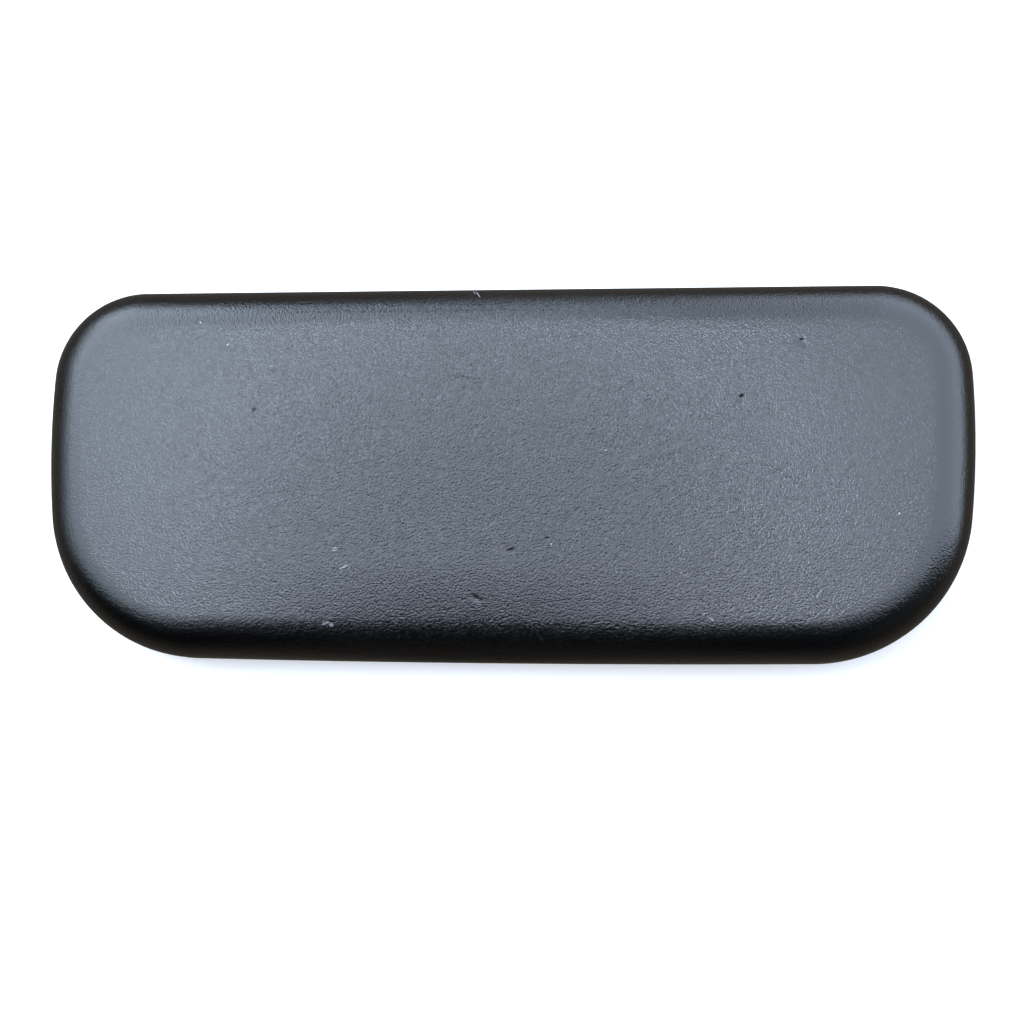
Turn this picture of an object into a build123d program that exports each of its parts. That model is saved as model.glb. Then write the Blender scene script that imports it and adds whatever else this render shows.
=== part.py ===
from build123d import *
import os

# Chair armrest pad. A grained polyurethane skin over a foam core, moulded onto a ribbed nylon carrier.
# Four tee nuts in the carrier take the screws of the chair's arm, and a tray closes the ribs from below.
#
# Millimetres. X runs along the arm, +Y is towards the sitter (the side with the tighter corners), +Z is up.
# The origin is the middle of the pad's box, on the face that seats on the chair's arm.
# The pad is its own mirror image across X, so it fits the left and the right arm.

os.makedirs("parts", exist_ok=True)

# The pad's form
pad_length = 254.0
pad_width = 102.5
pad_height = 28.0
end_radius = 250.0  # bow of the two ends, seen from above
end_bow_y = 10.5  # where the ends stand out furthest
outer_edge_radius = 5600.0  # the outer long edge is very nearly straight
inner_corner_radius = 26.0
outer_corner_radius = 42.5
top_roll_radius = 11.5
bottom_roll_radius = 10.0
skin_thickness = 1.5

# Heights of the pieces under the foam
tray_lip_top = 1.2  # also the underside of the moulded skin
tray_top = 3.0
plate_bottom = 8.5
plate_top = 11.5

# Insets of their outlines from the pad's outline
tray_lip_inset = 10.6
opening_inset = 13.0  # the carrier's wall fills the opening in the skin
plate_inset = 8.0
wall_thickness = 2.5
tray_gap = 0.2
plate_edge_radius = 1.0
tray_edge_radius = 0.5

# One grid of ribs, which the fixings share
rib_thickness = 2.0
rib_pitch_x = 25.0
rib_pitch_y = 24.0
ribs_across = 9
ribs_along = 3

# Tee nuts, M6
nut_x = 2 * rib_pitch_x
nut_y = rib_pitch_y
nut_bore_radius = 2.5  # M6 minor diameter
nut_barrel_radius = 4.0
nut_flange_radius = 9.0
nut_flange_flats = 14.0  # across the flats that stop it turning
nut_flange_thickness = 1.5
nut_boss_radius = 7.0
nut_fit = 0.03

# Caps that kept the liquid foam out of the nuts
cap_height = 5.5
cap_radius = 5.0
cap_wall = 0.8
cap_brim_radius = 6.6
cap_edge_radius = 1.5

# Tray screws, 3.5 x 10 countersunk, in blind pilot holes
screw_x = 4 * rib_pitch_x
screw_y = rib_pitch_y
screw_head_radius = 3.4
screw_head_sink = 0.1
screw_shank_radius = 1.45
screw_tip_z = 9.8
screw_tip_length = 1.6
screw_tip_radius = 0.4
screw_boss_radius = 4.0
pilot_fit = 0.02
pilot_end_z = 10.2
tray_hole_radius = 1.9
cross_slot_width = 0.9
cross_slot_length = 3.8
cross_slot_depth = 1.4

# Cone holes that lock the foam to the carrier
lock_top_radius = 3.0
lock_bottom_radius = 4.5
lock_columns = (1.5 * rib_pitch_x, 3.5 * rib_pitch_x)
lock_row = 0.5 * rib_pitch_y

# Shallow fields at the tray's ends, with a raised land round each screw
field_depth = 0.6
field_inset = 16.5
field_start_x = 68.0
field_corner_radius = 4.0
land_radius = 6.0

half_length = pad_length / 2
half_width = pad_width / 2
boss_clearance = 0.2
through = 2 * pad_height  # length of a cut that has to pass right through

ends = {"front": 1, "rear": -1}
sides = {"inner": 1, "outer": -1}
nut_places = {f"{e}_{s}": (i * nut_x, j * nut_y) for e, i in ends.items() for s, j in sides.items()}
rows = {"front": 1, "middle": 0, "rear": -1}
screw_places = {f"{r}_{s}": (i * screw_x, j * screw_y) for r, i in rows.items() for s, j in sides.items()}
lock_places = [(i * x, j * lock_row) for x in lock_columns for i in ends.values() for j in sides.values()]


def pad_outline():
    """The plan: two bowed ends, a straight inner edge, a nearly straight outer edge and four corners."""
    end_centre = half_length - end_radius
    front_end = Pos(end_centre, end_bow_y) * Circle(end_radius)
    rear_end = Pos(-end_centre, end_bow_y) * Circle(end_radius)
    outer_edge = Pos(0, outer_edge_radius - half_width) * Circle(outer_edge_radius)
    inner_edge = Rectangle(2 * pad_length, pad_width)
    blank = front_end & rear_end & outer_edge & inner_edge
    inner_done = fillet(blank.vertices().sort_by(Axis.Y)[-2:], inner_corner_radius)
    return fillet(inner_done.vertices().sort_by(Axis.Y)[:2], outer_corner_radius)


outline = pad_outline()


def slab(inset, bottom, top):
    """A plate with the pad's outline moved in by inset, from one height to another."""
    return Pos(0, 0, bottom) * extrude(offset(outline, -inset), top - bottom)


def post(place, radius, bottom, top):
    """A round post, or the cutter for a round hole."""
    return Pos(*place, bottom) * Cylinder(
        radius, top - bottom, align=(Align.CENTER, Align.CENTER, Align.MIN)
    )


def pad_form(inset):
    """The moulded pad as a solid, moved in by inset all over."""
    blank = slab(inset, tray_lip_top + inset, pad_height - inset)
    rounded = fillet(blank.faces().sort_by(Axis.Z)[-1].edges(), top_roll_radius - inset)
    return fillet(rounded.faces().sort_by(Axis.Z)[0].edges(), bottom_roll_radius - inset)


def carrier_block():
    """The space the carrier takes from the foam: its plate on its wall, with the ribs' pocket filled in."""
    plate = slab(plate_inset, plate_bottom, plate_top)
    plate = fillet(plate.edges().group_by(Axis.Z)[-1], plate_edge_radius)
    return plate + slab(opening_inset, tray_lip_top, plate_bottom)


def rib_grid():
    """Crossing ribs from the plate down to the tray, cut off at the carrier's wall."""
    height = plate_bottom - tray_top
    middle = Pos(0, 0, tray_top + height / 2)
    across = GridLocations(rib_pitch_x, 0, ribs_across, 1) * Box(rib_thickness, pad_width, height)
    along = GridLocations(0, rib_pitch_y, 1, ribs_along) * Box(pad_length, rib_thickness, height)
    grid = middle * (Part() + across + along)
    return grid & slab(opening_inset + wall_thickness / 2, tray_top, plate_bottom)


def lock_cone(place):
    """A cone that is wider below, so foam set in it can't lift out."""
    return Pos(*place, (plate_bottom + plate_top) / 2) * Cone(
        lock_bottom_radius, lock_top_radius, plate_top - plate_bottom
    )


def nut_flange(fit=0.0):
    """The tee nut's round flange with two flats, at the origin."""
    blank = Circle(nut_flange_radius + fit)
    flats = Rectangle(4 * nut_flange_radius, nut_flange_flats + 2 * fit)
    return extrude(blank & flats, nut_flange_thickness)


def tee_nut(place):
    """Flange flush with the carrier's top, barrel down to the mounting face, open bore."""
    flange_bottom = plate_top - nut_flange_thickness
    body = Pos(*place, flange_bottom) * nut_flange() + post(place, nut_barrel_radius, 0, flange_bottom)
    return body - post(place, nut_bore_radius, -1, plate_top + 1)


def cap_outside(place):
    """A cap with its inside filled in, which is the room it takes in the foam."""
    cup = post(place, cap_radius, plate_top, plate_top + cap_height)
    cup = fillet(cup.edges().group_by(Axis.Z)[-1], cap_edge_radius)
    return cup + post(place, cap_brim_radius, plate_top, plate_top + cap_wall)


def nut_cap(place):
    """A thin cup with a brim, upside down on the tee nut."""
    hollow = post(place, cap_radius - cap_wall, plate_top, plate_top + cap_height - cap_wall)
    hollow = fillet(hollow.edges().group_by(Axis.Z)[-1], cap_edge_radius - cap_wall)
    return cap_outside(place) - hollow


def countersink(place, mouth_z, mouth_radius, neck_radius):
    """A 90 degree cone that narrows upwards from its mouth to its neck."""
    depth = mouth_radius - neck_radius
    return Pos(*place, mouth_z + depth / 2) * Cone(mouth_radius, neck_radius, depth)


def tray_screw(place):
    """Countersunk head, plain shank, cone tip, cross slot."""
    head = countersink(place, screw_head_sink, screw_head_radius, screw_shank_radius)
    shank = post(place, screw_shank_radius, screw_head_sink, screw_tip_z - screw_tip_length)
    tip = Pos(*place, screw_tip_z - screw_tip_length / 2) * Cone(
        screw_shank_radius, screw_tip_radius, screw_tip_length
    )
    slot = Box(cross_slot_length, cross_slot_width, 2 * cross_slot_depth)
    cross = slot + Rot(0, 0, 90) * slot
    return head + shank + tip - Pos(*place, screw_head_sink) * cross


def pad_skin():
    """The dense grained skin: a shell with one opening below, where the carrier fills it."""
    opening = slab(opening_inset, 0, tray_lip_top + 2 * skin_thickness)
    return pad_form(0) - pad_form(skin_thickness) - opening


def foam_core():
    """Everything between skin and carrier, with plugs in the lock holes and room for the caps."""
    core = pad_form(skin_thickness) - carrier_block()
    for place in nut_places.values():
        core -= cap_outside(place)
    for place in lock_places:
        core += lock_cone(place)
    return core


def carrier():
    """The nylon carrier: plate, wall, ribs, and a boss for every nut and screw."""
    pocket = slab(opening_inset + wall_thickness, tray_lip_top, plate_bottom)
    body = carrier_block() - pocket + rib_grid()
    for place in nut_places.values():
        body += post(place, nut_boss_radius, 0, plate_bottom)
    for place in screw_places.values():
        body += post(place, screw_boss_radius, tray_top, plate_bottom)
    for place in nut_places.values():
        body -= Pos(*place, plate_top - nut_flange_thickness) * nut_flange(nut_fit)
        body -= post(place, nut_barrel_radius + nut_fit, -1, through)
    for place in screw_places.values():
        body -= post(place, screw_shank_radius + pilot_fit, 0, pilot_end_z)
    for place in lock_places:
        body -= lock_cone(place)
    return body


def tray_field(end):
    """A shallow field in one end of the tray's face, round the lands of that end's screws."""
    end_half = Pos(end * (field_start_x + half_length), 0) * Rectangle(pad_length, pad_width)
    area = offset(outline, -field_inset) & end_half
    middle_corners = area.vertices().sort_by(Axis.X)[::end][:2]
    area = fillet(middle_corners, field_corner_radius)
    for side in sides.values():
        area -= Pos(end * screw_x, side * screw_y) * Circle(land_radius)
    return extrude(area, field_depth)


def bottom_tray():
    """The closing tray: a lip over the skin's edge and a panel inside the carrier's wall."""
    lip = slab(tray_lip_inset, 0, tray_lip_top)
    lip = fillet(lip.edges().group_by(Axis.Z)[0], tray_edge_radius)
    body = lip + slab(opening_inset + wall_thickness + tray_gap, 0, tray_top)
    for end in ends.values():
        body -= tray_field(end)
    for place in nut_places.values():
        body -= post(place, nut_boss_radius + boss_clearance, -1, through)
    for place in screw_places.values():
        body -= post(place, tray_hole_radius, -1, through)
        body -= countersink(place, 0, screw_head_radius + screw_head_sink, tray_hole_radius)
    return body


pieces = {
    "pad_skin": pad_skin(),
    "foam_core": foam_core(),
    "carrier": carrier(),
    "bottom_tray": bottom_tray(),
}
for name, place in nut_places.items():
    pieces[f"tee_nut_{name}"] = tee_nut(place)
    pieces[f"nut_cap_{name}"] = nut_cap(place)
for name, place in screw_places.items():
    pieces[f"tray_screw_{name}"] = tray_screw(place)

for name, piece in pieces.items():
    export_step(piece, f"parts/{name}.step")
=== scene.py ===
import bmesh
import bpy
from math import atan2, ceil, copysign, cos, exp, pi, radians, sin, sqrt
from mathutils import Matrix, Vector, noise


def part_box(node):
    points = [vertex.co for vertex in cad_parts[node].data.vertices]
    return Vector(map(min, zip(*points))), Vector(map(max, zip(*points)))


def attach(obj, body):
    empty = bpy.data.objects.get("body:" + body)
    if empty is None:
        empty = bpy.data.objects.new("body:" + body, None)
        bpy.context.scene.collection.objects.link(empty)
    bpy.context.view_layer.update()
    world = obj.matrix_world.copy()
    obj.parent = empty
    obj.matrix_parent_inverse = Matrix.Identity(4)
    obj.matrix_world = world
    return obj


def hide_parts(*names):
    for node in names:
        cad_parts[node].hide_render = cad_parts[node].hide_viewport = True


# A chair's armrest pad: grained skin, foam, ribbed carrier, tee nuts, tray and screws, on a pale floor.
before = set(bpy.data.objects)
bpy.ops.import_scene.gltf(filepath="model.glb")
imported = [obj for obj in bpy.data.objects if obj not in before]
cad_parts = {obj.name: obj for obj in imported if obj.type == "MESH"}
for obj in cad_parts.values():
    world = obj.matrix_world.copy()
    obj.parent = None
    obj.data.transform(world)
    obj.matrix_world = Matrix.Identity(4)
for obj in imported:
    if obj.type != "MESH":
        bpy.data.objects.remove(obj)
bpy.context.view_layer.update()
print("frame loaded:", len(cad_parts), "nodes")

mm = 0.001
weld = 0.001 * mm  # points nearer than this are one point
sharpAngle = radians(32)  # edges of hard pieces past this show as edges

skinLow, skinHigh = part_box("pad_skin")
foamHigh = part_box("foam_core")[1]
topZ = skinHigh.z
skinThickness = skinHigh.z - foamHigh.z


# Small helpers

def easeStep(value, start, end):  # 0 before start, 1 after end, smooth between
    t = min(max((value - start) / (end - start), 0), 1)
    return t * t * (3 - 2 * t)


def movedBy(points, vector):
    for point in points:
        point.co += vector


def onlyVerts(geometry):
    return [g for g in geometry if isinstance(g, bmesh.types.BMVert)]


def onlyEdges(geometry):
    return [g for g in geometry if isinstance(g, bmesh.types.BMEdge)]


def edgesAt(bm, z):  # edges that lie at one height
    return [e for e in bm.edges if all(abs(v.co.z - z) < weld for v in e.verts)]


def vertsOf(edges):  # each once, in the same order on each run
    return list(dict.fromkeys(v for e in edges for v in e.verts))


def everything(bm):
    return bm.verts[:] + bm.edges[:] + bm.faces[:]


def pieceFrom(bm, name, smooth=True):
    mesh = bpy.data.meshes.new(name)
    bm.to_mesh(mesh)
    bm.free()
    mesh.polygons.foreach_set("use_smooth", [smooth] * len(mesh.polygons))
    piece = bpy.data.objects.new(name, mesh)
    bpy.context.scene.collection.objects.link(piece)
    return piece


def camelName(node):
    first, *others = node.split("_")
    return first + "".join(word.capitalize() for word in others)


# The pad's form, seen from above: bowed ends, a straight inner edge and a nearly straight outer edge

padForm = {
    "endBow": 250 * mm,
    "endBowY": 10.5 * mm,  # where the ends stand out furthest
    "outerBow": 5600 * mm,
    "innerCorner": 26 * mm,
    "outerCorner": 42.5 * mm,
    "topRoll": 11.5 * mm,
    "bottomRoll": 10 * mm,
    "underside": 13 * mm,  # width of the skin's underside, with the roll
    "topRings": 6,  # rings of the top face between the roll and the grid
    "ringWidth": 2 * mm,
    "rollSegments": 14,
    "innerSteps": 68,  # steps of half the inner edge
    "innerCornerSteps": 26,
    "endSteps": 26,
    "outerCornerSteps": 44,
    "outerSteps": 59,
    "partingZ": 12.4 * mm,  # where the halves of the mould met
    "partingHalfWidth": 0.3 * mm,
    "partingHeight": 0.05 * mm,
    "gridSlack": 0.03 * mm,  # how far inside its corners a side of the top's grid may start
}
# The grid over the middle of the top needs as many steps along its outer edge as along its inner edge
assert 2 * padForm["innerSteps"] + padForm["innerCornerSteps"] == (
    2 * padForm["outerSteps"] + padForm["outerCornerSteps"]
)


def circlesCross(centreA, radiusA, centreB, radiusB):  # the crossing with the larger x
    apart = centreB - centreA
    along = (radiusA**2 - radiusB**2 + apart.length_squared) / (2 * apart.length)
    aside = sqrt(radiusA**2 - along**2)
    unit = apart.normalized()
    across = Vector((unit.y, -unit.x, 0))
    crossings = [centreA + unit * along + across * side for side in (aside, -aside)]
    return max(crossings, key=lambda p: p.x)


def padCorners():  # centres of the two right-hand corners, and of the arcs they join
    form = padForm
    halfLength, halfWidth = skinHigh.x, skinHigh.y
    endCentre = Vector((halfLength - form["endBow"], form["endBowY"], 0))
    outerCentre = Vector((0, form["outerBow"] - halfWidth, 0))
    innerY = halfWidth - form["innerCorner"]
    reach = form["endBow"] - form["innerCorner"]
    innerX = endCentre.x + sqrt(reach**2 - (innerY - endCentre.y) ** 2)
    outer = circlesCross(
        endCentre, form["endBow"] - form["outerCorner"], outerCentre, form["outerBow"] - form["outerCorner"]
    )
    return Vector((innerX, innerY, 0)), outer, endCentre, outerCentre


innerCorner, outerCorner, endCentre, outerCentre = padCorners()
innerTurn = atan2(innerCorner.y - endCentre.y, innerCorner.x - endCentre.x)
outerTurn = atan2(outerCorner.y - endCentre.y, outerCorner.x - endCentre.x)
outerEnd = atan2(outerCorner.y - outerCentre.y, outerCorner.x)


def padOutline(bm):  # half of it by spinning a point round each arc, then its mirror image
    form = padForm
    straight = bm.edges.new((bm.verts.new((0, skinHigh.y, 0)), bm.verts.new((innerCorner.x, skinHigh.y, 0))))
    bmesh.ops.subdivide_edges(bm, edges=[straight], cuts=form["innerSteps"] - 1)
    last = max(bm.verts, key=lambda v: v.co.x)
    arcs = (
        (innerCorner, innerTurn - pi / 2, form["innerCornerSteps"]),
        (endCentre, outerTurn - innerTurn, form["endSteps"]),
        (outerCorner, outerEnd - outerTurn, form["outerCornerSteps"]),
        (outerCentre, -pi / 2 - outerEnd, form["outerSteps"]),
    )
    for centre, angle, steps in arcs:
        spun = bmesh.ops.spin(
            bm, geom=[last], cent=centre, axis=(0, 0, 1), angle=angle, steps=steps, use_merge=False
        )
        last = onlyVerts(spun["geom_last"])[0]
    last.co.x = 0
    bmesh.ops.mirror(bm, geom=bm.verts[:] + bm.edges[:], axis="X", merge_dist=weld)
    bmesh.ops.remove_doubles(bm, verts=bm.verts[:], dist=weld)


def rollRim(bm, z, radius):  # rounds the rim at height z
    bmesh.ops.bevel(
        bm, geom=edgesAt(bm, z), offset=radius, offset_type="OFFSET", segments=padForm["rollSegments"],
        profile=0.5, affect="EDGES", material=-1, clamp_overlap=False,
    )


def wideFace(bm, highest):  # the one large face left at the top or at the bottom
    faces = [f for f in bm.faces if len(f.verts) > 4]
    return sorted(faces, key=lambda f: f.calc_center_median().z)[-1 if highest else 0]


def gridTop(bm, inset):  # quads over the middle of the top, between its inner and outer edges
    form = padForm
    middle = wideFace(bm, True)
    rim = middle.edges[:]
    bmesh.ops.delete(bm, geom=[middle], context="FACES_ONLY")
    innerY = innerCorner.y + (form["innerCorner"] - inset) * sin((pi / 2 + innerTurn) / 2)
    outerY = outerCorner.y + (form["outerCorner"] - inset) * sin((outerEnd + outerTurn) / 2)
    slack = form["gridSlack"]
    sides = [e for e in rim if all(v.co.y > innerY - slack for v in e.verts)]
    sides += [e for e in rim if all(v.co.y < outerY + slack for v in e.verts)]
    bmesh.ops.grid_fill(bm, edges=sides, mat_nr=0, use_smooth=True, use_interp_simple=True)


def partingLine(bm):  # the fine ridge left by the mould, all round the side
    form = padForm
    for shift in (-form["partingHalfWidth"], 0, form["partingHalfWidth"]):
        level = (0, 0, form["partingZ"] + shift)
        bmesh.ops.bisect_plane(bm, geom=everything(bm), dist=weld, plane_co=level, plane_no=(0, 0, 1))
    for v in vertsOf(edgesAt(bm, form["partingZ"])):
        outwards = Vector((v.normal.x, v.normal.y, 0)).normalized()
        v.co += outwards * form["partingHeight"]


# What use has done: a low crown, the outer edge pressed down where forearms rest, dents and nicks

padWear = {
    "settleFrom": 0.45,  # share of the height below which nothing settles
    "crown": 0.5 * mm,
    "endCrown": 0.6,  # the crown's fall to the ends, as a share of its fall to the long edges
    "restBow": 75 * mm,  # radius of the bow down to the outer edge
    "restX": -8 * mm,
    "restHalfLength": 52 * mm,
    "restFrom": 24 * mm,  # where the bow starts, outwards from the middle
    "restTo": 42 * mm,  # past here the slope stays
    "waves": 0.05 * mm,
    "waveLength": 38 * mm,
    "dents": (  # x, y, radius, depth
        (72 * mm, 12 * mm, 7 * mm, 0.22 * mm),
        (-40 * mm, -2 * mm, 12 * mm, 0.08 * mm),
    ),
    "nicks": (  # x, y, angle in degrees, half length, half width, depth
        (65.0, 19.3, 60, 0.8, 0.6, 0.5),
        (80.8, 34.5, 20, 0.6, 0.5, 0.42),
        (-66.8, 16.4, 40, 0.7, 0.5, 0.3),
        (3.9, -21.5, 25, 1.0, 0.42, 0.5),
        (-5.3, -34.4, -30, 1.4, 0.55, 0.45),
        (13.6, -18.3, 10, 0.6, 0.4, 0.34),
        (21.5, -10.6, 25, 0.6, 0.35, 0.25),
        (27.2, -8.3, 0, 0.4, 0.32, 0.2),
    ),
    "nickCuts": 5,  # cuts of each edge round a nick
    "nickReach": 2.2,  # how far round a nick the mesh is finer, in its lengths
}


def fineRound(bm, x, y, reach):  # finer mesh on the top, round one place
    near = [
        e for e in bm.edges
        if all(v.co.z > topZ - mm and (v.co.xy - Vector((x, y))).length < reach for v in e.verts)
    ]
    bmesh.ops.subdivide_edges(bm, edges=near, cuts=padWear["nickCuts"], use_grid_fill=True)


def nickDepth(co):  # how deep the nicks are at a point of the top
    deepest = 0
    for x, y, angle, halfLength, halfWidth, depth in padWear["nicks"]:
        away = Matrix.Rotation(-radians(angle), 2) @ (co.xy / mm - Vector((x, y)))
        distance = (away.x / halfLength) ** 2 + (away.y / halfWidth) ** 2
        deepest = max(deepest, depth * mm * exp(-distance))
    return deepest


def settle(co, high):  # how far a point of the moulded pad moves; high is the top of its own piece
    use = padWear
    upper = easeStep(co.z, use["settleFrom"] * high, high)
    across = (co.y / skinHigh.y) ** 2 + use["endCrown"] * (co.x / skinHigh.x) ** 4
    drop = use["crown"] * across
    along = exp(-(((co.x - use["restX"]) / use["restHalfLength"]) ** 2))
    bowed = min(max(-co.y - use["restFrom"], 0), use["restTo"] - use["restFrom"])
    beyond = max(-co.y - use["restTo"], 0)
    drop += along * bowed * (bowed / 2 + beyond) / use["restBow"]
    for x, y, radius, depth in use["dents"]:
        drop += depth * exp(-(((co.x - x) ** 2 + (co.y - y) ** 2) / radius**2))
    drop += use["waves"] * (0.5 + 0.5 * noise.noise(Vector((co.x, co.y, 0)) / use["waveLength"]))
    return Vector((0, 0, -drop * upper))


def padSkin():
    form = padForm
    bm = bmesh.new()
    padOutline(bm)
    bmesh.ops.edgeloop_fill(bm, edges=bm.edges[:])
    raised = bmesh.ops.extrude_face_region(bm, geom=bm.faces[:])
    movedBy(onlyVerts(raised["geom"]), Vector((0, 0, topZ - skinLow.z)))
    bmesh.ops.recalc_face_normals(bm, faces=bm.faces[:])
    rollRim(bm, topZ - skinLow.z, form["topRoll"])
    rollRim(bm, 0, form["bottomRoll"])
    for _ in range(form["topRings"]):
        bmesh.ops.inset_region(
            bm, faces=[wideFace(bm, True)], thickness=form["ringWidth"], use_even_offset=True,
            use_boundary=True,
        )
    gridTop(bm, form["topRoll"] + form["topRings"] * form["ringWidth"])
    underside = wideFace(bm, False)
    bmesh.ops.inset_region(
        bm, faces=[underside], thickness=form["underside"] - form["bottomRoll"], use_even_offset=True,
        use_boundary=True,
    )
    bmesh.ops.delete(bm, geom=[underside], context="FACES_ONLY")
    movedBy(bm.verts, Vector((0, 0, skinLow.z)))
    bmesh.ops.recalc_face_normals(bm, faces=bm.faces[:])
    partingLine(bm)
    for x, y, _, halfLength, _, _ in padWear["nicks"]:
        fineRound(bm, x * mm, y * mm, (halfLength * padWear["nickReach"] + 1) * mm)
    for v in bm.verts:
        if v.co.z > topZ - mm:
            v.co.z -= nickDepth(v.co)
    for v in bm.verts:
        v.co += settle(v.co, topZ)
    skin = pieceFrom(bm, "padSkin")
    wall = skin.modifiers.new("wall", "SOLIDIFY")
    wall.thickness = skinThickness
    wall.offset = -1
    return skin


skin = padSkin()
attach(skin, "root")
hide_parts("pad_skin")
print("skin made:", len(skin.data.polygons), "faces")


# Foam: the CAD solid's own shape, settled with the skin

foamForm = {"step": 5 * mm}  # between the cuts that let the foam follow the skin


def foamCore():
    step = foamForm["step"]
    bm = bmesh.new()
    bm.from_mesh(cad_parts["foam_core"].data)
    bmesh.ops.remove_doubles(bm, verts=bm.verts[:], dist=weld)
    for axis, reach in ((0, foamHigh.x), (1, foamHigh.y)):
        normal = [0, 0, 0]
        normal[axis] = 1
        for k in range(-int(reach / step), int(reach / step) + 1):
            level = [0, 0, 0]
            level[axis] = (k + 0.5) * step
            bmesh.ops.bisect_plane(bm, geom=everything(bm), dist=weld, plane_co=level, plane_no=normal)
    for v in bm.verts:
        v.co += settle(v.co, foamHigh.z)
    return pieceFrom(bm, "foamCore", smooth=False)


foam = foamCore()
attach(foam, "root")
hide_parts("foam_core")
print("foam made:", len(foam.data.polygons), "faces")


# Threads, tee nuts and screws

def threadTube(bm, pitch, low, high, bottom, top, profile, steps):
    # profile gives the share of a pitch and the share of the way from low to high radius
    turns = ceil((top - bottom) / pitch) + 2
    column = []
    for turn in range(turns):
        start = bottom + (turn - 1) * pitch
        column += [bm.verts.new((low + (high - low) * r, 0, start + z * pitch)) for z, r in profile]
    lines = [bm.edges.new(pair) for pair in zip(column, column[1:])]
    bmesh.ops.spin(
        bm, geom=column + lines, cent=(0, 0, 0), axis=(0, 0, 1), dvec=(0, 0, pitch / steps), angle=2 * pi,
        steps=steps, use_merge=False,
    )
    bmesh.ops.remove_doubles(bm, verts=bm.verts[:], dist=weld)
    for z, side in ((bottom, -1), (top, 1)):
        bmesh.ops.bisect_plane(
            bm, geom=everything(bm), dist=weld, plane_co=(0, 0, z), plane_no=(0, 0, side), clear_outer=True
        )


def ringAt(bm, radius, z, segments):
    ring = bmesh.ops.create_circle(
        bm, cap_ends=False, radius=radius, segments=segments, matrix=Matrix.Translation((0, 0, z))
    )
    return list(dict.fromkeys(e for v in ring["verts"] for e in v.link_edges))


def openEdges(bm, z):
    return [e for e in edgesAt(bm, z) if e.is_boundary]


def raisedRim(bm, rim, z, scale=1.0):  # extrudes a ring of edges to height z and returns the new ring
    made = bmesh.ops.extrude_edge_only(bm, edges=rim)["geom"]
    for v in onlyVerts(made):
        v.co = Vector((v.co.x * scale, v.co.y * scale, z))
    return [e for e in onlyEdges(made) if all(abs(v.co.z - z) < weld for v in e.verts)]


def joinedRings(bm, inner, outer):  # rings at one height; the inner is lifted meanwhile, so they can't cross
    points = vertsOf(inner)
    movedBy(points, Vector((0, 0, mm)))
    bmesh.ops.bridge_loops(bm, edges=inner + outer)
    movedBy(points, Vector((0, 0, -mm)))


def hardPiece(bm, name, centre):  # closes up a hard piece and puts it in its place
    bmesh.ops.recalc_face_normals(bm, faces=bm.faces[:])
    movedBy(bm.verts, centre)
    piece = pieceFrom(bm, name)
    piece.data.set_sharp_from_angle(angle=sharpAngle)
    return piece


nutForm = {
    "segments": 64,
    "flangeRadius": 9 * mm,
    "flangeThickness": 1.5 * mm,
    "barrelRadius": 4 * mm,
    "minorRadius": 2.5 * mm,  # M6
    "majorRadius": 3 * mm,
    "pitch": 1 * mm,
    "threadSteps": 32,
    "threadProfile": ((0, 0), (0.27, 0), (0.56, 1), (0.7, 1)),
    "edgeBevel": 0.2 * mm,
}


def teeNut(node):
    form = nutForm
    low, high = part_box(node)
    halfFlats = (high.y - low.y) / 2
    underFlange = high.z - form["flangeThickness"]
    bm = bmesh.new()
    threadTube(
        bm, form["pitch"], form["minorRadius"], form["majorRadius"], low.z, high.z, form["threadProfile"],
        form["threadSteps"],
    )
    foot = ringAt(bm, form["barrelRadius"], low.z, form["segments"])
    joinedRings(bm, [e for e in openEdges(bm, low.z) if e not in foot], foot)
    neck = raisedRim(bm, foot, underFlange)
    flange = ringAt(bm, form["flangeRadius"], underFlange, form["segments"])
    for v in vertsOf(flange):
        v.co.y = min(max(v.co.y, -halfFlats), halfFlats)
    joinedRings(bm, neck, flange)
    brim = raisedRim(bm, flange, high.z)
    joinedRings(bm, [e for e in openEdges(bm, high.z) if e not in brim], brim)
    outer = [
        e for e in bm.edges
        if all(v.co.xy.length > form["barrelRadius"] - weld for v in e.verts)
        and all(abs(v.co.z - e.verts[0].co.z) < weld for v in e.verts) and e.calc_face_angle(0) > 1
    ]
    bmesh.ops.bevel(
        bm, geom=outer, offset=form["edgeBevel"], offset_type="OFFSET", segments=2, profile=0.5,
        affect="EDGES", material=-1, clamp_overlap=True,
    )
    middle = (low + high) / 2
    return hardPiece(bm, camelName(node), Vector((middle.x, middle.y, 0)))


screwForm = {
    "segments": 48,
    "headRadius": 3.4 * mm,
    "neckRadius": 1.45 * mm,
    "rootRadius": 1.2 * mm,
    "crestRadius": 1.72 * mm,
    "pitch": 1.35 * mm,
    "threadSteps": 24,
    "threadProfile": ((0, 0), (0.55, 0), (0.75, 1), (0.8, 1)),
    "tipLength": 1.6 * mm,
    "tipRadius": 0.4 * mm,
    "slotLength": 3.8 * mm,
    "slotWidth": 0.9 * mm,
    "slotDepth": 1.4 * mm,
    "slotTaper": 0.72,
    "edgeBevel": 0.08 * mm,
}


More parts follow.
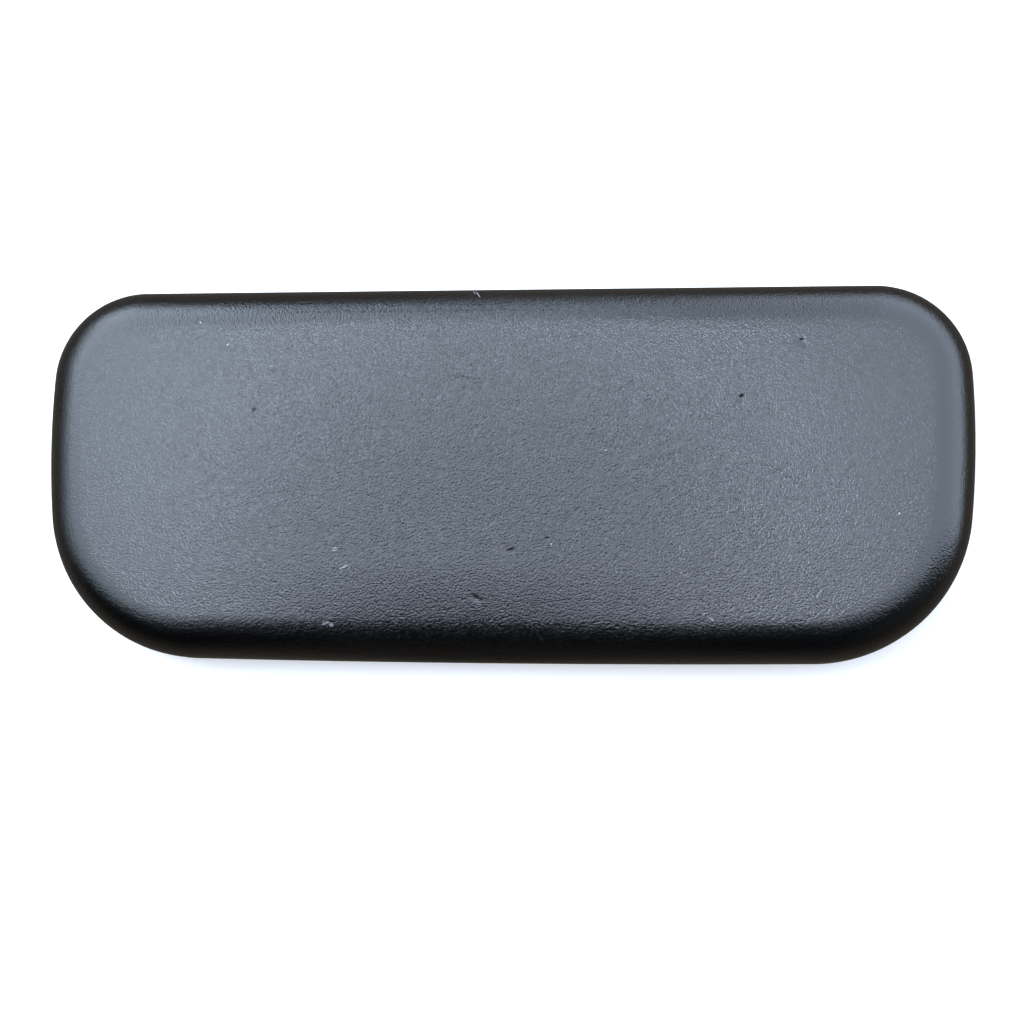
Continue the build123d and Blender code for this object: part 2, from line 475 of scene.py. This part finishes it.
def crossRecess(bm, z):  # the head's flat face with a tapered cross in it
    form = screwForm
    reach, halfWidth = form["slotLength"] / 2, form["slotWidth"] / 2
    grid = bmesh.ops.create_grid(
        bm, x_segments=3, y_segments=3, size=reach, matrix=Matrix.Translation((0, 0, z))
    )
    for v in grid["verts"]:
        if abs(v.co.x) < reach - weld:
            v.co.x = copysign(halfWidth, v.co.x)
        if abs(v.co.y) < reach - weld:
            v.co.y = copysign(halfWidth, v.co.y)
    faces = list(dict.fromkeys(f for v in grid["verts"] for f in v.link_faces))
    corners = [f for f in faces if min(map(abs, f.calc_center_median().xy)) > halfWidth]
    bmesh.ops.delete(bm, geom=corners, context="FACES")
    cross = [f for f in faces if f.is_valid]
    mouth = [e for f in cross for e in f.edges if e.is_boundary]
    rim = ringAt(bm, form["headRadius"], z, form["segments"])
    joinedRings(bm, mouth, rim)
    sunk = bmesh.ops.extrude_face_region(bm, geom=cross)
    bmesh.ops.delete(bm, geom=[f for f in cross if f.is_valid], context="FACES")
    for v in onlyVerts(sunk["geom"]):
        v.co = Vector((v.co.x * form["slotTaper"], v.co.y * form["slotTaper"], z + form["slotDepth"]))
    return rim


def trayScrew(node):
    form = screwForm
    low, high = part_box(node)
    neckZ = low.z + form["headRadius"] - form["neckRadius"]
    threadTop = high.z - form["tipLength"]
    bm = bmesh.new()
    threadTube(
        bm, form["pitch"], form["rootRadius"], form["crestRadius"], neckZ, threadTop, form["threadProfile"],
        form["threadSteps"],
    )
    for v in bm.verts:  # the thread fades out at both ends
        share = min(1, (v.co.z - neckZ) / form["pitch"], (threadTop - v.co.z) / form["pitch"])
        radius = v.co.xy.length
        faded = form["rootRadius"] + (radius - form["rootRadius"]) * max(share, 0)
        v.co.x *= faded / radius
        v.co.y *= faded / radius
    threadFoot, threadHead = openEdges(bm, neckZ), openEdges(bm, threadTop)
    tip = ringAt(bm, form["tipRadius"], high.z, form["threadSteps"])
    bmesh.ops.bridge_loops(bm, edges=threadHead + tip)
    bmesh.ops.edgeloop_fill(bm, edges=tip)
    rim = crossRecess(bm, low.z)
    neck = raisedRim(bm, rim, neckZ, form["neckRadius"] / form["headRadius"])
    joinedRings(bm, threadFoot, neck)
    bmesh.ops.bevel(
        bm, geom=rim, offset=form["edgeBevel"], offset_type="OFFSET", segments=2, profile=0.5,
        affect="EDGES", material=-1, clamp_overlap=True,
    )
    middle = (low + high) / 2
    return hardPiece(bm, camelName(node), Vector((middle.x, middle.y, 0)))


nuts, screws = [], []
for node in sorted(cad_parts):
    if node.startswith("tee_nut_"):
        nuts.append(teeNut(node))
        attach(nuts[-1], "root")
        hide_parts(node)
    if node.startswith("tray_screw_"):
        screws.append(trayScrew(node))
        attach(screws[-1], "root")
        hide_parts(node)
print("fixings made:", len(nuts), "tee nuts,", len(screws), "screws")


# Shader helpers

def addNode(tree, kind, inputs=None, **settings):
    made = tree.nodes.new("ShaderNode" + kind)
    made.location.x = 180 * len(tree.nodes)
    for key, value in settings.items():
        setattr(made, key, value)
    for key, value in (inputs or {}).items():
        if isinstance(value, bpy.types.NodeSocket):
            tree.links.new(value, made.inputs[key])
        else:
            made.inputs[key].default_value = value
    return made


def maths(tree, operation, a, b=0.0, **settings):
    return addNode(tree, "Math", {0: a, 1: b}, operation=operation, **settings).outputs[0]


def vectors(tree, operation, a, b):
    return addNode(tree, "VectorMath", {0: a, 1: b}, operation=operation).outputs[0]


def ranged(tree, value, fromLow, fromHigh, low, high, smooth=False):
    given = {"Value": value, "From Min": fromLow, "From Max": fromHigh, "To Min": low, "To Max": high}
    kind = "SMOOTHSTEP" if smooth else "LINEAR"
    return addNode(tree, "MapRange", given, interpolation_type=kind).outputs[0]


def mixed(tree, mask, a, b):
    return addNode(tree, "Mix", {0: mask, 6: a, 7: b}, data_type="RGBA").outputs[2]


def newGroup(name, inputs, outputs):
    tree = bpy.data.node_groups.new(name, "ShaderNodeTree")
    for label, kind, value in inputs:
        socket = tree.interface.new_socket(label, in_out="INPUT", socket_type="NodeSocket" + kind)
        socket.default_value = value
    for label, kind in outputs:
        tree.interface.new_socket(label, in_out="OUTPUT", socket_type="NodeSocket" + kind)
    return tree, tree.nodes.new("NodeGroupInput").outputs, tree.nodes.new("NodeGroupOutput").inputs


def placed(tree, group, inputs):
    made = tree.nodes.new("ShaderNodeGroup")
    made.node_tree = group
    made.location.x = 180 * len(tree.nodes)
    for key, value in inputs.items():
        if isinstance(value, bpy.types.NodeSocket):
            tree.links.new(value, made.inputs[key])
        else:
            made.inputs[key].default_value = value
    return made.outputs


def newMaterial(name, shader):
    material = bpy.data.materials.new(name)
    material.use_nodes = True
    tree = material.node_tree
    principled = tree.nodes["Principled BSDF"]
    for key, value in shader.items():
        principled.inputs[key].default_value = value
    place = addNode(tree, "TexCoord").outputs["Object"]
    return material, tree, principled, place


def bumped(tree, shader, height, distance, strength=1.0):
    bump = addNode(tree, "Bump", {"Height": height, "Distance": distance, "Strength": strength})
    tree.links.new(bump.outputs[0], shader.inputs["Normal"])


# Shared effects

grainRecipe = {
    "drift": 0.45,  # how often the pebbles' rows bend, against how often pebbles come
    "folds": 0.4,  # how often folds come, against the same
    "smoothness": 0.35,
    "fineRoughness": 0.6,
}


def leatherGrain():  # rounded pebbles, fine pits and broader folds
    recipe = grainRecipe
    tree, given, result = newGroup(
        "leather grain",
        (
            ("Vector", "Vector", (0, 0, 0)), ("Cell", "Float", 0.7 * mm), ("Depth", "Float", 1),
            ("Folds", "Float", 1),
        ),
        (("Height", "Float"),),
    )
    perMetre = maths(tree, "DIVIDE", 1, given["Cell"])
    slow = maths(tree, "MULTIPLY", perMetre, recipe["drift"])
    drift = addNode(tree, "TexNoise", {"Vector": given["Vector"], "Scale": slow, "Detail": 1})
    centred = vectors(tree, "SUBTRACT", drift.outputs["Color"], (0.5, 0.5, 0.5))
    bent = addNode(tree, "VectorMath", {0: centred, "Scale": given["Cell"]}, operation="SCALE")
    where = vectors(tree, "ADD", given["Vector"], bent.outputs[0])
    cells = addNode(
        tree, "TexVoronoi", {"Vector": where, "Scale": perMetre, "Smoothness": recipe["smoothness"]},
        feature="SMOOTH_F1",
    )
    pebbles = maths(tree, "SUBTRACT", 1, cells.outputs["Distance"])
    fine = addNode(tree, "TexNoise", {
        "Vector": given["Vector"], "Scale": perMetre, "Detail": 2, "Roughness": recipe["fineRoughness"],
    })
    broad = maths(tree, "MULTIPLY", perMetre, recipe["folds"])
    folds = addNode(tree, "TexNoise", {"Vector": given["Vector"], "Scale": broad, "Detail": 1})
    rough = maths(tree, "ADD", pebbles, fine.outputs["Fac"])
    rough = maths(tree, "ADD", rough, maths(tree, "MULTIPLY", folds.outputs["Fac"], given["Folds"]))
    tree.links.new(maths(tree, "MULTIPLY", rough, given["Depth"]), result["Height"])
    return tree


markRecipe = {
    "reach": 12 * mm,  # upwards and downwards
    "fleck": 0.4 * mm,
    "tear": 4,
}


def surfaceMark():  # one stroke, dot or crease: white inside, black outside, with a ragged edge
    recipe = markRecipe
    tree, given, result = newGroup(
        "surface mark",
        (
            ("Vector", "Vector", (0, 0, 0)), ("Centre", "Vector", (0, 0, 0)), ("Angle", "Float", 0),
            ("Half Length", "Float", mm), ("Half Width", "Float", 0.3 * mm), ("Bend", "Float", 0),
            ("Ragged", "Float", 0.5), ("Soft", "Float", 0.2),
        ),
        (("Mask", "Float"),),
    )
    away = vectors(tree, "SUBTRACT", given["Vector"], given["Centre"])
    turned = addNode(
        tree, "VectorRotate", {"Vector": away, "Angle": given["Angle"]}, rotation_type="Z_AXIS", invert=True
    )
    parts = addNode(tree, "SeparateXYZ", {0: turned.outputs[0]}).outputs
    bow = maths(tree, "MULTIPLY", given["Bend"], maths(tree, "POWER", parts[0], 2))
    along = maths(tree, "DIVIDE", parts[0], given["Half Length"])
    aside = maths(tree, "DIVIDE", maths(tree, "SUBTRACT", parts[1], bow), given["Half Width"])
    above = maths(tree, "DIVIDE", parts[2], recipe["reach"])
    joined = addNode(tree, "CombineXYZ", {0: along, 1: aside, 2: above})
    distance = addNode(tree, "VectorMath", {0: joined.outputs[0]}, operation="LENGTH").outputs["Value"]
    flecks = addNode(
        tree, "TexNoise", {"Vector": given["Vector"], "Scale": 1 / recipe["fleck"], "Detail": 2}
    )
    torn = maths(tree, "MULTIPLY", maths(tree, "SUBTRACT", flecks.outputs["Fac"], 0.5), given["Ragged"])
    edge = maths(tree, "ADD", distance, maths(tree, "MULTIPLY", torn, recipe["tear"]))
    outside = maths(tree, "ADD", 1, given["Soft"])
    inside = maths(tree, "SUBTRACT", 1, given["Soft"])
    tree.links.new(ranged(tree, edge, outside, inside, 0, 1, smooth=True), result["Mask"])
    return tree


mottleRecipe = {"roughness": 0.55, "range": (0.3, 0.7)}


def mottle():  # slow change over a surface, between two values
    recipe = mottleRecipe
    tree, given, result = newGroup(
        "mottle",
        (
            ("Vector", "Vector", (0, 0, 0)), ("Size", "Float", 10 * mm), ("Low", "Float", 0.0),
            ("High", "Float", 1.0),
        ),
        (("Value", "Float"),),
    )
    perMetre = maths(tree, "DIVIDE", 1, given["Size"])
    cloud = addNode(tree, "TexNoise", {
        "Vector": given["Vector"], "Scale": perMetre, "Detail": 3, "Roughness": recipe["roughness"],
    })
    value = ranged(tree, cloud.outputs["Fac"], *recipe["range"], given["Low"], given["High"])
    tree.links.new(value, result["Value"])
    return tree


mouldRecipe = {
    "pitRoughness": 0.7,
    "stretch": (0.12, 1.0, 1.0),
    "streakScale": 400,
    "streakWarp": 0.6,
    "streakRange": (0.35, 0.7),
}


def mouldTexture():  # the fine spark-eroded texture of a moulding tool, with flow streaks along X
    recipe = mouldRecipe
    tree, given, result = newGroup(
        "mould texture",
        (("Vector", "Vector", (0, 0, 0)), ("Cell", "Float", 0.4 * mm), ("Streaks", "Float", 0.3)),
        (("Height", "Float"), ("Streak", "Float")),
    )
    perMetre = maths(tree, "DIVIDE", 1, given["Cell"])
    pits = addNode(tree, "TexNoise", {
        "Vector": given["Vector"], "Scale": perMetre, "Detail": 3, "Roughness": recipe["pitRoughness"],
    })
    drawn = addNode(tree, "Mapping", {"Vector": given["Vector"], "Scale": recipe["stretch"]})
    flow = addNode(tree, "TexNoise", {
        "Vector": drawn.outputs[0], "Scale": recipe["streakScale"], "Detail": 4,
        "Distortion": recipe["streakWarp"],
    })
    streak = ranged(tree, flow.outputs["Fac"], *recipe["streakRange"], 0, 1)
    height = maths(tree, "ADD", pits.outputs["Fac"], maths(tree, "MULTIPLY", streak, given["Streaks"]))
    tree.links.new(height, result["Height"])
    tree.links.new(streak, result["Streak"])
    return tree


wearRecipe = {
    "patchScale": 30,
    "patchRoughness": 0.75,
    "patchRange": (0.45, 0.8),
    "hairTurn": 0.5,
    "hairStretch": 30,
    "hairScale": 90,
    "hairRange": (0.62, 0.68),
}


def contactWear():  # rubbed patches and fine scratches where the lowest faces touch the chair's arm
    recipe = wearRecipe
    tree, given, result = newGroup(
        "contact wear",
        (("Vector", "Vector", (0, 0, 0)), ("Height", "Float", 0.1 * mm), ("Amount", "Float", 0.5)),
        (("Mask", "Float"),),
    )
    parts = addNode(tree, "SeparateXYZ", {0: given["Vector"]}).outputs
    low = maths(tree, "LESS_THAN", parts[2], given["Height"])
    patches = addNode(tree, "TexNoise", {
        "Vector": given["Vector"], "Scale": recipe["patchScale"], "Detail": 8,
        "Roughness": recipe["patchRoughness"],
    })
    patch = ranged(tree, patches.outputs["Fac"], *recipe["patchRange"], 0, 1, smooth=True)
    turned = addNode(tree, "Mapping", {
        "Vector": given["Vector"], "Rotation": (0, 0, recipe["hairTurn"]),
        "Scale": (1, recipe["hairStretch"], 1),
    })
    hairs = addNode(
        tree, "TexNoise", {"Vector": turned.outputs[0], "Scale": recipe["hairScale"], "Detail": 2}
    )
    hair = ranged(tree, hairs.outputs["Fac"], *recipe["hairRange"], 0, 1, smooth=True)
    rubbed = maths(tree, "MULTIPLY", maths(tree, "MAXIMUM", patch, hair), low)
    tree.links.new(maths(tree, "MULTIPLY", rubbed, given["Amount"]), result["Mask"])
    return tree


grainGroup = leatherGrain()
markGroup = surfaceMark()
mottleGroup = mottle()
mouldGroup = mouldTexture()
wearGroup = contactWear()


# Skin finish

skinFinish = {
    "colour": (0.0009, 0.0009, 0.0010, 1),
    "wornColour": (0.0018, 0.0018, 0.0019, 1),
    "wornPatch": 30 * mm,
    "shine": 0.9,  # specular level
    "roughness": (0.21, 0.25),
    "glossPatch": 45 * mm,
    "grainCell": 0.5 * mm,
    "grainDepth": 0.12 * mm,
    "grainFolds": 0.6,  # share of broader folds in the grain
    "grainEnds": 0.48,  # share of the depth left towards the ends
    "grainMiddle": 1.35,
    "deepGrain": ((-5, -18, 0, 62, 52, 0, 0),),  # as scuffs
    "scuffColour": (0.18, 0.184, 0.19, 1),
    "scuffRoughness": 0.6,
    "scuffs": (  # x, y, angle in degrees, half length, half width, bend per mm, ragged
        (-43.6, -21.0, 8, 0.6, 0.17, 0, 0.5),
        (-43.8, -21.7, 0, 0.5, 0.14, 0, 0.6),
        (-41.3, -26.2, 26, 1.1, 0.17, 0, 0.9),
        (-46.2, -41.2, 20, 0.8, 0.3, 0, 0.9),
        (-44.7, -41.7, -20, 0.5, 0.3, 0, 1.3),
        (-6.4, 48.8, -55, 1.2, 0.17, 0, 0.4),
        (-7.6, 49.6, -60, 0.8, 0.12, 0, 0.6),
        (-82.5, 40.9, -20, 0.28, 0.2, 0, 0.3),
        (-74.8, 34.7, 0, 0.24, 0.2, 0, 0.3),
        (29.1, 5.3, 0, 0.18, 0.1, 0, 0.3),
        (14.8, -19.8, 0, 0.13, 0.09, 0, 0.3),
        (106.0, -11.5, 0, 0.2, 0.2, 0, 0.3),
        (55.4, -38.0, 20, 0.4, 0.18, 0, 0.8),
        (57.4, -39.5, -30, 0.5, 0.2, 0, 1.0),
    ),
    "creases": (
        (-8.9, 25.2, -6, 4.3, 0.22, 0, 1.2),
        (-25.0, 43.7, 0, 21.0, 0.22, 0, 1.9),
        (19.7, -11.3, 22, 2.0, 0.25, 0, 0.9),
        (34.2, 22.7, 35, 2.2, 0.2, 0, 0.9),
        (45.0, 3.9, 20, 1.8, 0.2, 0, 0.9),
        (73.0, 0.6, -20, 2.2, 0.2, 0, 0.9),
        (93.4, 0.6, 40, 1.6, 0.2, 0, 0.9),
        (54.7, -40.1, 72, 2.3, 0.5, 0, 0.7),
    ),
    "creaseDepth": 0.12 * mm,
}


def marked(tree, place, marks, soft=0.2):  # one mask for a list of marks on the top
    mask = None
    for x, y, angle, halfLength, halfWidth, bend, ragged in marks:
        one = placed(tree, markGroup, {
            "Vector": place, "Centre": (x * mm, y * mm, topZ), "Angle": radians(angle),
            "Half Length": halfLength * mm, "Half Width": halfWidth * mm, "Bend": bend / mm, "Ragged": ragged,
            "Soft": soft,
        })["Mask"]
        mask = one if mask is None else maths(tree, "MAXIMUM", mask, one)
    return mask


def unevenGloss(tree, place, finish):  # roughness that drifts between a finish's two values
    low, high = finish["roughness"]
    given = {"Vector": place, "Size": finish["glossPatch"], "Low": low, "High": high}
    return placed(tree, mottleGroup, given)["Value"]


def skinMaterial():
    finish = skinFinish
    material, tree, shader, place = newMaterial(
        "black leather-grain skin", {"Specular IOR Level": finish["shine"]}
    )
    deep = ranged(
        tree, marked(tree, place, finish["deepGrain"], 0.8), 0, 1, finish["grainEnds"], finish["grainMiddle"]
    )
    grain = placed(tree, grainGroup, {
        "Vector": place, "Cell": finish["grainCell"], "Depth": deep,
        "Folds": finish["grainFolds"],
    })["Height"]
    scuff = marked(tree, place, finish["scuffs"])
    crease = marked(tree, place, finish["creases"])
    worn = placed(tree, mottleGroup, {"Vector": place, "Size": finish["wornPatch"]})["Value"]
    plain = mixed(tree, worn, finish["colour"], finish["wornColour"])
    tree.links.new(mixed(tree, scuff, plain, finish["scuffColour"]), shader.inputs["Base Color"])
    gloss = unevenGloss(tree, place, finish)
    tree.links.new(ranged(tree, scuff, 0, 1, gloss, finish["scuffRoughness"]), shader.inputs["Roughness"])
    pressed = maths(tree, "MULTIPLY", crease, finish["creaseDepth"] / finish["grainDepth"])
    bumped(tree, shader, maths(tree, "SUBTRACT", grain, pressed), finish["grainDepth"])
    return material


# Finishes of the other pieces

foamFinish = {
    "colours": ((0.055, 0.055, 0.058, 1), (0.085, 0.084, 0.082, 1)),
    # painted shade: the pores' colour, darker than the walls, stands for the shade inside the open cells
    "poreColour": (0.015, 0.015, 0.016, 1),
    "roughness": 0.95,
    "cell": 0.6 * mm,
    "wallRange": (0.02, 0.2),  # from a cell's wall to its pore, in cells
    "depth": 0.25 * mm,
    "patch": 15 * mm,
}


def foamMaterial():
    finish = foamFinish
    material, tree, shader, place = newMaterial("open-cell foam", {"Roughness": finish["roughness"]})
    cells = addNode(
        tree, "TexVoronoi", {"Vector": place, "Scale": 1 / finish["cell"]}, feature="DISTANCE_TO_EDGE"
    )
    wall = ranged(tree, cells.outputs["Distance"], *finish["wallRange"], 1, 0)
    tone = placed(tree, mottleGroup, {"Vector": place, "Size": finish["patch"]})["Value"]
    skinned = mixed(tree, tone, *finish["colours"])
    # painted shade in the pores: the walls take the foam's tone, the pores the darker painted colour
    tree.links.new(mixed(tree, wall, finish["poreColour"], skinned), shader.inputs["Base Color"])
    bumped(tree, shader, wall, finish["depth"])
    return material


def plasticMaterial(name, finish):
    material, tree, shader, place = newMaterial(name, {})
    mould = placed(
        tree, mouldGroup, {"Vector": place, "Cell": finish["cell"], "Streaks": finish["streaks"]}
    )
    wear = placed(tree, wearGroup, {"Vector": place, "Amount": finish["wear"]})["Mask"]
    plain = mixed(tree, mould["Streak"], finish["colour"], finish["streakColour"])
    tree.links.new(mixed(tree, wear, plain, finish["wornColour"]), shader.inputs["Base Color"])
    gloss = ranged(tree, wear, 0, 1, unevenGloss(tree, place, finish), finish["roughness"][0])
    tree.links.new(gloss, shader.inputs["Roughness"])
    bumped(tree, shader, mould["Height"], finish["depth"])
    return material


def platedMaterial(name, finish):
    material, tree, shader, place = newMaterial(name, {"Metallic": 1.0})
    tint = placed(tree, mottleGroup, {"Vector": place, "Size": finish["patch"]})["Value"]
    tree.links.new(mixed(tree, tint, finish["colour"], finish["tint"]), shader.inputs["Base Color"])
    tree.links.new(unevenGloss(tree, place, finish), shader.inputs["Roughness"])
    grit = placed(tree, mottleGroup, {"Vector": place, "Size": finish["grit"]})["Value"]
    bumped(tree, shader, grit, finish["depth"])
    return material


carrierFinish = {
    "colour": (0.011, 0.011, 0.012, 1),
    "streakColour": (0.022, 0.022, 0.023, 1),
    "wornColour": (0.05, 0.05, 0.05, 1),
    "roughness": (0.42, 0.56),
    "glossPatch": 12 * mm,
    "cell": 0.5 * mm,
    "streaks": 0.8,
    "depth": 0.03 * mm,
    "wear": 0.3,
}
trayFinish = {
    "colour": (0.016, 0.016, 0.017, 1),
    "streakColour": (0.021, 0.021, 0.022, 1),
    "wornColour": (0.07, 0.07, 0.069, 1),
    "roughness": (0.5, 0.62),
    "glossPatch": 12 * mm,
    "cell": 0.3 * mm,
    "streaks": 0.15,
    "depth": 0.06 * mm,
    "wear": 0.45,
}
capFinish = {
    "colour": (0.62, 0.63, 0.61, 1),
    "streakColour": (0.70, 0.71, 0.70, 1),
    "wornColour": (0.70, 0.71, 0.70, 1),
    "roughness": (0.38, 0.48),
    "glossPatch": 12 * mm,
    "cell": 0.6 * mm,
    "streaks": 0.4,
    "depth": 0.015 * mm,
    "wear": 0.0,
}
nutFinish = {
    "colour": (0.58, 0.60, 0.63, 1),
    "tint": (0.66, 0.63, 0.54, 1),
    "patch": 3 * mm,
    "roughness": (0.26, 0.42),
    "glossPatch": 0.8 * mm,
    "grit": 0.25 * mm,
    "depth": 0.006 * mm,
}
screwFinish = {
    "colour": (0.46, 0.48, 0.52, 1),
    "tint": (0.60, 0.61, 0.60, 1),
    "patch": 1.5 * mm,
    "roughness": (0.22, 0.36),
    "glossPatch": 0.8 * mm,
    "grit": 0.25 * mm,
    "depth": 0.006 * mm,
}

skin.data.materials.append(skinMaterial())
foam.data.materials.append(foamMaterial())
nutMaterial = platedMaterial("zinc-plated nut", nutFinish)
screwMaterial = platedMaterial("zinc-plated screw", screwFinish)
for nut in nuts:
    nut.data.materials.append(nutMaterial)
for screw in screws:
    screw.data.materials.append(screwMaterial)
carried = {
    "carrier": plasticMaterial("glass-filled nylon", carrierFinish),
    "bottom_tray": plasticMaterial("textured polypropylene", trayFinish),
    "nut_cap": plasticMaterial("milky polythene", capFinish),
}
for start, material in carried.items():
    for name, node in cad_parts.items():
        if name.startswith(start):
            for slot in node.material_slots:
                slot.material = material
print("finishes made:", len(bpy.data.materials), "materials")


# Camera: almost straight above, leaning a little to the front and the outer side

shot = {
    "aim": Vector((2.6, -9.9, 14)) * mm,
    "distance": 550 * mm,
    "leanX": radians(6.55),
    "leanY": radians(-5.56),
    "roll": radians(0.72),
    "lens": 70.6,
}


def makeCamera():
    towards = Vector((sin(shot["leanX"]), sin(shot["leanY"]), 0))
    towards.z = sqrt(1 - towards.length_squared)
    upright = Vector((-sin(shot["roll"]), cos(shot["roll"]), 0))
    right = (-towards).cross(upright).normalized()
    up = towards.cross(right)
    camera = bpy.data.objects.new("camera", bpy.data.cameras.new("camera"))
    camera.data.lens = shot["lens"]
    camera.data.sensor_width = 36
    camera.data.clip_start = 10 * mm
    turn = Matrix((right, up, towards)).transposed().to_4x4()
    camera.matrix_world = Matrix.Translation(shot["aim"] + towards * shot["distance"]) @ turn
    bpy.context.scene.collection.objects.link(camera)
    bpy.context.scene.camera = camera


makeCamera()


# Studio: soft panels overhead and on three sides; only one weak corner panel on the outer side

studio = {
    "floorSize": 24,
    "floorColour": (0.86, 0.86, 0.86, 1),
    "floorGlow": (0.5, 1.2),  # lifts the pad's shadow, and makes the far floor as pale as the room
    "glowReach": (0.4, 2.5),  # over these distances the floor's glow grows
    "ground": (0.18, 0.162, 0.135, 1),  # painted reflection: a warm dark glow the floor shows only to the pad's gloss, standing for what the gloss sees of the floor
    "groundFrom": (-0.25, 0.35),  # painted shade in that reflection, darker towards the front: y, and the share of its brightness out there
    "groundTo": (0.02, 1.0),
    "room": (1, 1, 1, 1),
    "dimRoom": 0.008,
    "brightness": 3.8,
    "height": 1.0,
    "farEdge": 1.4,
    "halfWidth": 1.6,
    "colours": {"left": (0.71, 0.835, 1.0), "middle": (0.75, 0.83, 1.0), "right": (0.70, 0.81, 1.0)},
    "topPanels": (  # colour, from x, to x, from y, to y, share of the brightness
        ("left", -1.6, -0.26, -0.52, 0.14, 0.64),
        ("left", -1.6, -0.26, 0.14, 1.4, 1.2),
        ("middle", -0.26, 0.0, -0.02, 0.18, 4.8),
        ("middle", 0.0, 0.3, -0.13, 0.18, 0.79),
        ("middle", -0.08, 0.05, 0.18, 1.4, 0.4),
        ("right", 0.05, 0.3, 0.18, 1.4, 0.82),
        ("right", 0.3, 1.6, -0.42, 1.4, 0.72),
    ),
    "farPanels": (  # colour, from x, to x, foot, share of the brightness
        ("left", -1.6, -0.38, 0.36, 1.4),
        ("middle", -0.1, 0.06, 0.02, 0.4),
        ("right", 0.06, 1.6, 0.0, 0.85),
    ),
    "sidePanels": (  # colour, side, foot, share of the brightness
        ("left", -1, 0.3, 0.3),
        ("right", 1, 0.05, 0.85),
    ),
    "sideNear": -0.4,
    "cornerPanel": {"centre": (1.25, -1.2, 0.52), "size": (1.3, 0.34), "share": 0.045, "colour": "middle"},
}


def areaLight(name, centre, turn, width, height, share, colour):
    data = bpy.data.lights.new(name, "AREA")
    data.shape = "RECTANGLE"
    data.size = width
    data.size_y = height
    data.energy = studio["brightness"] * share * pi * width * height
    data.color = studio["colours"][colour]
    light = bpy.data.objects.new(name, data)
    light.matrix_world = Matrix.Translation(centre) @ turn.to_4x4()
    light.visible_camera = False
    bpy.context.scene.collection.objects.link(light)


def makePanels():
    far, top = studio["farEdge"], studio["height"]
    for colour, x0, x1, y0, y1, share in studio["topPanels"]:
        centre = ((x0 + x1) / 2, (y0 + y1) / 2, top)
        areaLight("top", centre, Matrix.Identity(3), x1 - x0, y1 - y0, share, colour)
    for colour, x0, x1, foot, share in studio["farPanels"]:
        centre = ((x0 + x1) / 2, far, (foot + top) / 2)
        areaLight("far", centre, Matrix.Rotation(radians(-90), 3, "X"), x1 - x0, top - foot, share, colour)
    deep = far - studio["sideNear"]
    for colour, side, foot, share in studio["sidePanels"]:
        centre = (side * studio["halfWidth"], far - deep / 2, (foot + top) / 2)
        turn = Matrix.Rotation(side * radians(90), 3, "Y")
        areaLight("side", centre, turn, top - foot, deep, share, colour)
    corner = studio["cornerPanel"]
    facing = (-Vector(corner["centre"])).to_track_quat("-Z", "Y").to_matrix()
    areaLight("corner", corner["centre"], facing, *corner["size"], corner["share"], corner["colour"])


def makeStudio():
    makePanels()
    bm = bmesh.new()
    bmesh.ops.create_grid(bm, x_segments=1, y_segments=1, size=studio["floorSize"] / 2)
    floor = pieceFrom(bm, "floor", smooth=False)
    material = bpy.data.materials.new("pale floor")
    material.use_nodes = True
    tree = material.node_tree
    tree.nodes.clear()
    paint = addNode(tree, "BsdfDiffuse", {"Color": studio["floorColour"]})
    path = addNode(tree, "LightPath")
    place = addNode(tree, "TexCoord").outputs["Object"]
    away = addNode(tree, "VectorMath", {0: place}, operation="LENGTH").outputs["Value"]
    glowing = ranged(tree, away, *studio["glowReach"], *studio["floorGlow"])
    seen = maths(tree, "MULTIPLY", path.outputs["Is Camera Ray"], glowing)
    glow = addNode(tree, "Emission", {"Color": studio["floorColour"], "Strength": seen})
    lit = addNode(tree, "AddShader", {0: paint.outputs[0], 1: glow.outputs[0]})
    # Painted reflection: for glossy rays the floor glows in the ground colour, with painted shade that dims
    # it towards the front (-y)
    across = addNode(tree, "SeparateXYZ", {0: place}).outputs[1]
    (fromY, fromShare), (toY, toShare) = studio["groundFrom"], studio["groundTo"]
    share = ranged(tree, across, fromY, toY, fromShare, toShare)
    paintedGroundReflection = addNode(tree, "Emission", {"Color": studio["ground"], "Strength": share})
    mix = addNode(
        tree, "MixShader", {0: path.outputs["Is Glossy Ray"], 1: lit.outputs[0], 2: paintedGroundReflection.outputs[0]}
    )
    addNode(tree, "OutputMaterial", {"Surface": mix.outputs[0]})
    floor.data.materials.append(material)

    world = bpy.data.worlds.new("room")
    bpy.context.scene.world = world
    world.use_nodes = True
    tree = world.node_tree
    tree.nodes.clear()
    seen = addNode(tree, "Background", {"Color": studio["room"], "Strength": 1.0})
    dim = addNode(tree, "Background", {"Color": studio["room"], "Strength": studio["dimRoom"]})
    path = addNode(tree, "LightPath")
    mix = addNode(
        tree, "MixShader", {0: path.outputs["Is Camera Ray"], 1: dim.outputs[0], 2: seen.outputs[0]}
    )
    addNode(tree, "OutputWorld", {"Surface": mix.outputs[0]})
    bpy.context.scene.view_settings.view_transform = "Standard"


makeStudio()
print("studio made")
